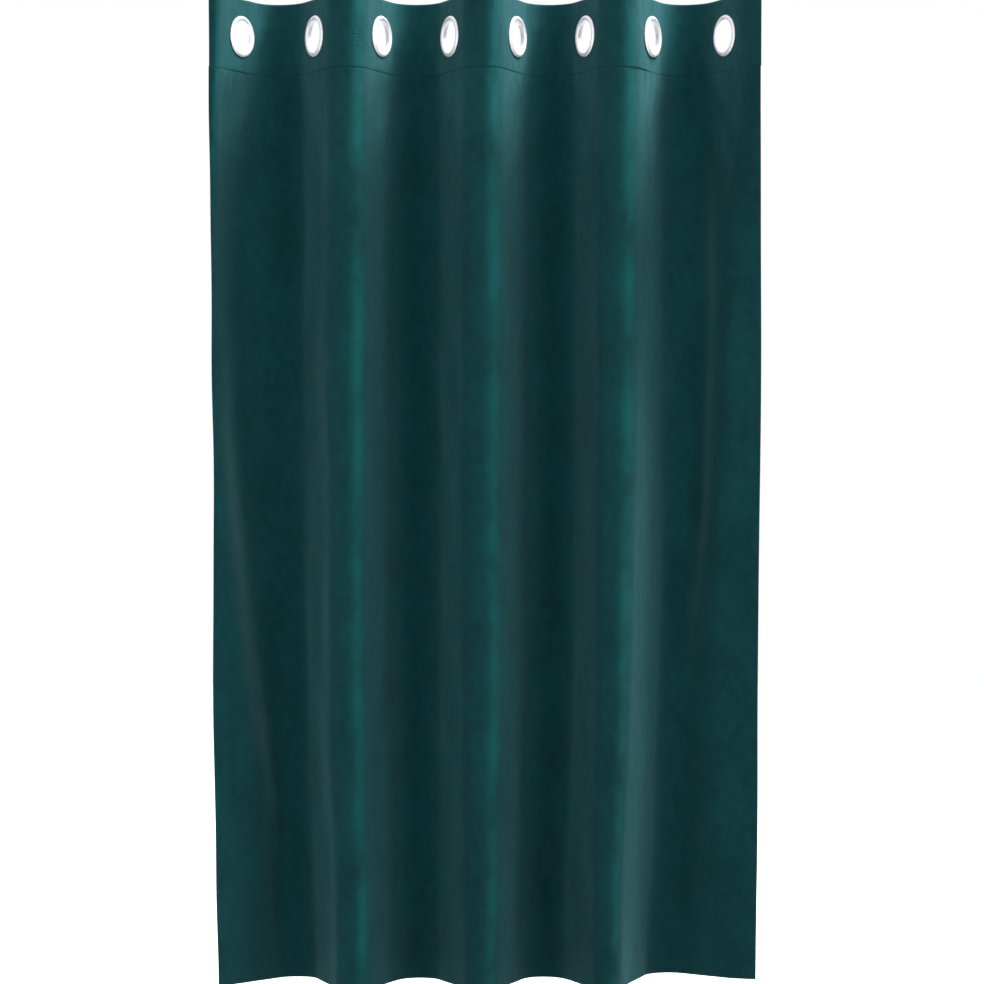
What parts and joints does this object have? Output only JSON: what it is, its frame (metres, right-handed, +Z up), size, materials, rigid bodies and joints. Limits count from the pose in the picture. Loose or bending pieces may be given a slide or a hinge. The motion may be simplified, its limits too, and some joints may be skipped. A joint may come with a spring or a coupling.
{
  "type": "velvet eyelet curtain",
  "caption": "Velvet curtain panel with metal eyelets along its stitched heading, hanging in deep soft folds.",
  "frame": {"origin": "middle of the top edge, at the mean depth of the folds", "axes": "+Z up along the drop, +X across the curtain to the right as seen from its front, -Y out of its front"},
  "size_m": [0.7671, 0.1617, 1.37],
  "materials": {
    "velvet": "short-pile velvet, dark teal",
    "heading_velvet": "short-pile velvet, doubled, dark teal",
    "eyelet_metal": "satin silver"
  },
  "bodies": {
    "root": {"panel": "velvet", "heading_1": "heading_velvet", "heading_2": "heading_velvet", "heading_3": "heading_velvet", "heading_4": "heading_velvet", "heading_5": "heading_velvet", "heading_6": "heading_velvet", "heading_7": "heading_velvet", "heading_8": "heading_velvet", "eyelet_front_1": "eyelet_metal", "eyelet_front_2": "eyelet_metal", "eyelet_front_3": "eyelet_metal", "eyelet_front_4": "eyelet_metal", "eyelet_front_5": "eyelet_metal", "eyelet_front_6": "eyelet_metal", "eyelet_front_7": "eyelet_metal", "eyelet_front_8": "eyelet_metal", "eyelet_back_1": "eyelet_metal", "eyelet_back_2": "eyelet_metal", "eyelet_back_3": "eyelet_metal", "eyelet_back_4": "eyelet_metal", "eyelet_back_5": "eyelet_metal", "eyelet_back_6": "eyelet_metal", "eyelet_back_7": "eyelet_metal", "eyelet_back_8": "eyelet_metal"}
  },
  "joints": []
}
